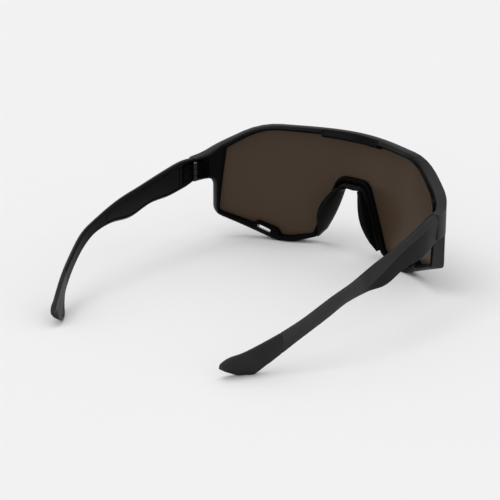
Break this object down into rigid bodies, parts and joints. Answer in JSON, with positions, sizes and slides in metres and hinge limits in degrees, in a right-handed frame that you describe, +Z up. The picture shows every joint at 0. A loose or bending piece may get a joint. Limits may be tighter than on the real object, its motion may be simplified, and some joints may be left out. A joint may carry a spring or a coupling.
{
  "type": "wrap-around shield glasses",
  "caption": "Black full-rim wrap-around shield glasses for mountain sports, with a single curved dark lens, a clip-on nose piece and folding arms with soft tips.",
  "frame": {"origin": "centre of the bounding box at its base, on the surface that the open glasses stand on", "axes": "+Z up, the lens looks along -Y, the arms run back along +Y, the wearer's left is +X"},
  "size_m": [0.1484, 0.1678, 0.0587],
  "materials": {
    "frame_plastic": "satin black nylon, glossy inside the rim",
    "lens_tint": "dark brown tinted polycarbonate, mirrored on the outside",
    "clip_rubber": "dark grey, semi-matte",
    "pad_rubber": "black, smooth",
    "arm_plastic": "satin black nylon",
    "strip_plastic": "charcoal, matte",
    "tip_rubber": "dark grey, matte",
    "hinge_steel": "blackened",
    "screw_steel": "bright",
    "wire_steel": "bright"
  },
  "bodies": {
    "front": {"front_frame": "frame_plastic", "shield_lens": "lens_tint", "nose_clip": "clip_rubber", "nose_pad_left": "pad_rubber", "nose_pad_right": "pad_rubber", "hinge_frame_leaf_left": "hinge_steel", "hinge_frame_leaf_right": "hinge_steel", "hinge_screw_left": "screw_steel", "hinge_screw_right": "screw_steel"},
    "arm_left": {"temple_left": "arm_plastic", "temple_strip_left": "strip_plastic", "temple_tip_left": "tip_rubber", "temple_wire_left": "wire_steel", "hinge_temple_leaf_left": "hinge_steel"},
    "arm_right": {"temple_right": "arm_plastic", "temple_strip_right": "strip_plastic", "temple_tip_right": "tip_rubber", "temple_wire_right": "wire_steel", "hinge_temple_leaf_right": "hinge_steel"}
  },
  "joints": [
    {"name": "temple_left_fold", "type": "hinge", "parent": "front", "child": "arm_left", "pos_m": [0.06778, -0.0419, 0.0363], "axis": [0, 0, 1], "range_deg": [0, 80]},
    {"name": "temple_right_fold", "type": "hinge", "parent": "front", "child": "arm_right", "pos_m": [-0.06778, -0.0419, 0.0363], "axis": [0, 0, -1], "range_deg": [0, 70]}
  ]
}
